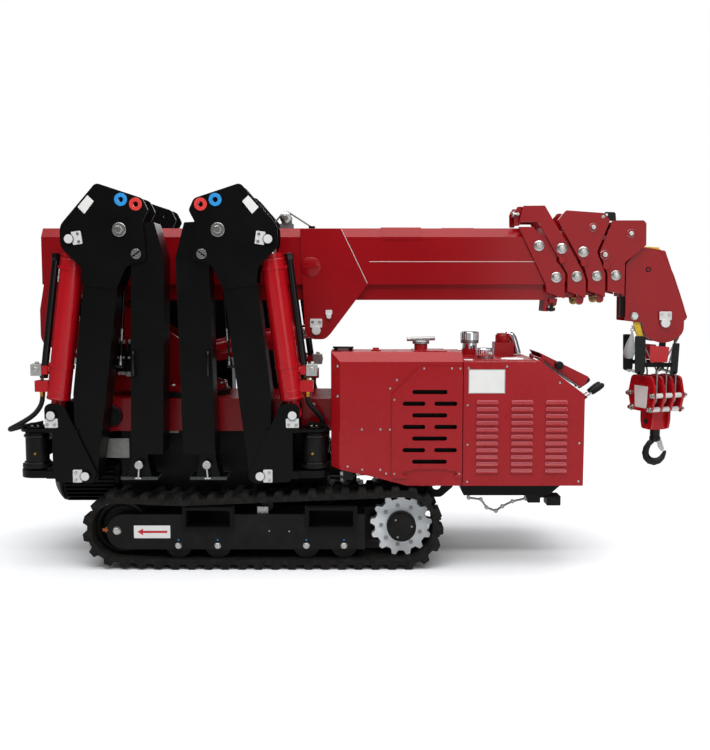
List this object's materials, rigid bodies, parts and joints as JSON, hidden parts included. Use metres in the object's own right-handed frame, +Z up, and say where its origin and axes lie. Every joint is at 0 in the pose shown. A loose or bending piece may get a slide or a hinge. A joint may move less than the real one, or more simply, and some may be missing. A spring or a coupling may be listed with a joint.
{
  "type": "tracked mini spider crane",
  "caption": "Compact crawler crane with folded outrigger legs, telescopic luffing boom, hanging hook block, engine hood and rubber tracks.",
  "frame": {"origin": "centre of the machine's outline on the ground, without the hoses", "axes": "+X towards the engine and the boom's head, -Y the machine's left side, +Z up"},
  "size_m": [3.066, 0.818, 1.6541],
  "materials": {
    "red_paint": "satin crimson paint",
    "black_paint": "satin black paint",
    "rubber": "moulded rubber",
    "sprocket_grey": "light grey paint",
    "steel": "turned steel",
    "hose": "corrugated sleeve",
    "hook_black": "black forged"
  },
  "bodies": {
    "chassis": {"base_deck": "red_paint", "chassis_frame": "black_paint", "control_levers": "black_paint", "drive_brackets": "black_paint", "drive_sprockets": "sprocket_grey", "electric_motor": "black_paint", "engine_block": "black_paint", "engine_rails": "black_paint", "engine_tray": "black_paint", "exhaust_stack": "red_paint", "final_drives": "black_paint", "fork_pockets": "black_paint", "hood_fittings": "steel", "hood_front": "red_paint", "hood_rear": "red_paint", "idler_wheels": "black_paint", "slew_ring": "black_paint", "slotted_panels": "red_paint", "tie_brackets": "black_paint", "track_frame_left": "black_paint", "track_frame_right": "black_paint", "track_left": "rubber", "track_right": "rubber", "track_rollers": "black_paint"},
    "leg_front_left": {"pedestal_front_left": "black_paint", "arm_front_left": "black_paint", "inner_leg_front_left": "black_paint", "cylinder_front_left": "red_paint", "hose_front_left": "hose"},
    "leg_front_right": {"pedestal_front_right": "black_paint", "arm_front_right": "black_paint", "inner_leg_front_right": "black_paint", "cylinder_front_right": "red_paint", "hose_front_right": "hose"},
    "leg_rear_left": {"pedestal_rear_left": "black_paint", "arm_rear_left": "black_paint", "inner_leg_rear_left": "black_paint", "cylinder_rear_left": "red_paint", "hose_rear_left": "hose"},
    "leg_rear_right": {"pedestal_rear_right": "black_paint", "arm_rear_right": "black_paint", "inner_leg_rear_right": "black_paint", "cylinder_rear_right": "red_paint", "hose_rear_right": "hose"},
    "turret": {"turret_frame": "red_paint", "winch_drum": "black_paint"},
    "luff_barrel_body": {"luff_barrel": "red_paint"},
    "luff_rod_body": {"luff_rod": "steel"},
    "boom": {"boom_base": "red_paint", "rope_guide": "steel"},
    "boom_2": {"boom_second": "red_paint"},
    "boom_3": {"boom_third": "red_paint"},
    "boom_4": {"boom_fourth": "red_paint"},
    "boom_5": {"boom_head": "red_paint", "head_sheaves": "steel"},
    "hanging_block": {"hook_block": "red_paint", "hoist_ropes": "steel"},
    "hook": {"load_hook": "hook_black"},
    "lid": {"control_lid": "red_paint"}
  },
  "joints": [
    {"name": "swing_front_left", "type": "hinge", "parent": "chassis", "child": "leg_front_left", "pos_m": [-1.42746, -0.315, 0.516], "axis": [0, 0, -1], "range_deg": [0, 135]},
    {"name": "swing_front_right", "type": "hinge", "parent": "chassis", "child": "leg_front_right", "pos_m": [-1.42746, 0.315, 0.516], "axis": [0, 0, 1], "range_deg": [0, 135]},
    {"name": "swing_rear_left", "type": "hinge", "parent": "chassis", "child": "leg_rear_left", "pos_m": [-0.21546, -0.315, 0.516], "axis": [0, 0, 1], "range_deg": [0, 95]},
    {"name": "swing_rear_right", "type": "hinge", "parent": "chassis", "child": "leg_rear_right", "pos_m": [-0.21546, 0.315, 0.516], "axis": [0, 0, -1], "range_deg": [0, 95]},
    {"name": "slew", "type": "hinge", "parent": "chassis", "child": "turret", "pos_m": [-0.82146, 0, 0.753], "axis": [0, 0, 1], "range_deg": [-9, 9]},
    {"name": "luff", "type": "hinge", "parent": "turret", "child": "boom", "pos_m": [-1.37446, 0, 1.3], "axis": [0, -1, 0], "range_deg": [0, 78]},
    {"name": "luff_barrel_tilt", "type": "hinge", "parent": "turret", "child": "luff_barrel_body", "pos_m": [-1.09446, 0, 0.845], "axis": [0, -1, 0], "range_deg": [0, 70.82]},
    {"name": "luff_rod_travel", "type": "slide", "parent": "luff_barrel_body", "child": "luff_rod_body", "axis": [0.9791, 0, 0.2036], "range_m": [0, 0.65602]},
    {"name": "extend_2", "type": "slide", "parent": "boom", "child": "boom_2", "axis": [1, 0, 0], "range_m": [0, 0.86]},
    {"name": "extend_3", "type": "slide", "parent": "boom_2", "child": "boom_3", "axis": [1, 0, 0], "range_m": [0, 0.86]},
    {"name": "extend_4", "type": "slide", "parent": "boom_3", "child": "boom_4", "axis": [1, 0, 0], "range_m": [0, 0.86]},
    {"name": "extend_5", "type": "slide", "parent": "boom_4", "child": "boom_5", "axis": [1, 0, 0], "range_m": [0, 0.86]},
    {"name": "block_hang", "type": "hinge", "parent": "boom_5", "child": "hanging_block", "pos_m": [1.38054, 0, 1.059], "axis": [0, -1, 0], "range_deg": [-78, 0]},
    {"name": "hook_swivel", "type": "hinge", "parent": "hanging_block", "child": "hook", "pos_m": [1.37554, 0, 0.56], "axis": [0, 0, 1], "continuous": true},
    {"name": "lid_open", "type": "hinge", "parent": "chassis", "child": "lid", "pos_m": [0.77654, -0.18, 0.91], "axis": [0, -1, 0], "range_deg": [0, 80]}
  ],
  "couplings": [
    {"joint": "luff_barrel_tilt", "follows": "luff", "ratio": 0.89515},
    {"joint": "luff_rod_travel", "follows": "luff", "m_per_rad": 0.47822},
    {"joint": "extend_3", "follows": "extend_2", "ratio": 1},
    {"joint": "extend_4", "follows": "extend_2", "ratio": 1},
    {"joint": "extend_5", "follows": "extend_2", "ratio": 1},
    {"joint": "block_hang", "follows": "luff", "ratio": -1}
  ]
}
